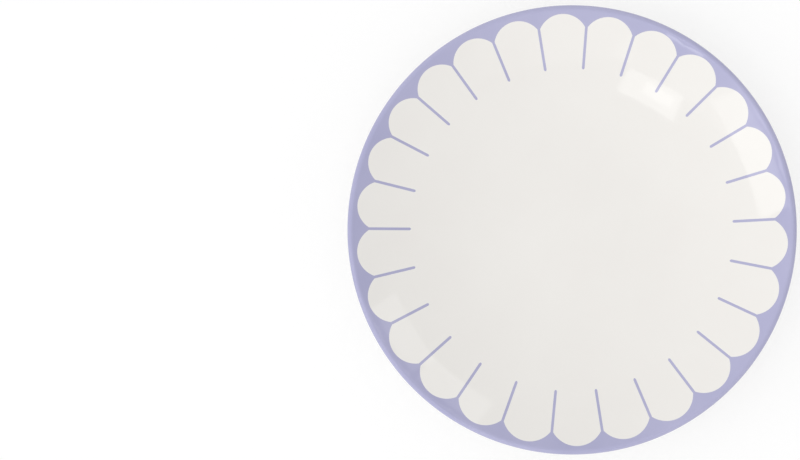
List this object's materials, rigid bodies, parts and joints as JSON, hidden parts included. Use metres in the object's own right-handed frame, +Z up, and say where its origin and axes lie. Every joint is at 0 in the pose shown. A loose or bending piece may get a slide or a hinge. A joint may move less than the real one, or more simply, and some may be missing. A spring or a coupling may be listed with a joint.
{
  "type": "dessert plate",
  "caption": "Round coupe dessert plate on a foot ring: a white glazed well inside a coloured border with a petal edge and lines, wrapped over the lip.",
  "frame": {"origin": "on the table, under the middle of the plate", "axes": "+Z up out of the well, +X to the right and +Y to the top in the pictured top view"},
  "size_m": [0.2, 0.2, 0.0206],
  "materials": {
    "fired_clay": "bare, smooth to the touch",
    "face_white": "gloss",
    "border_lavender": "gloss",
    "back_white": "gloss",
    "foot_well_white": "gloss"
  },
  "bodies": {
    "root": {"clay_body": "fired_clay", "face_glaze": "face_white", "petal_border": "border_lavender", "back_glaze": "back_white", "foot_well_glaze": "foot_well_white"}
  },
  "joints": []
}
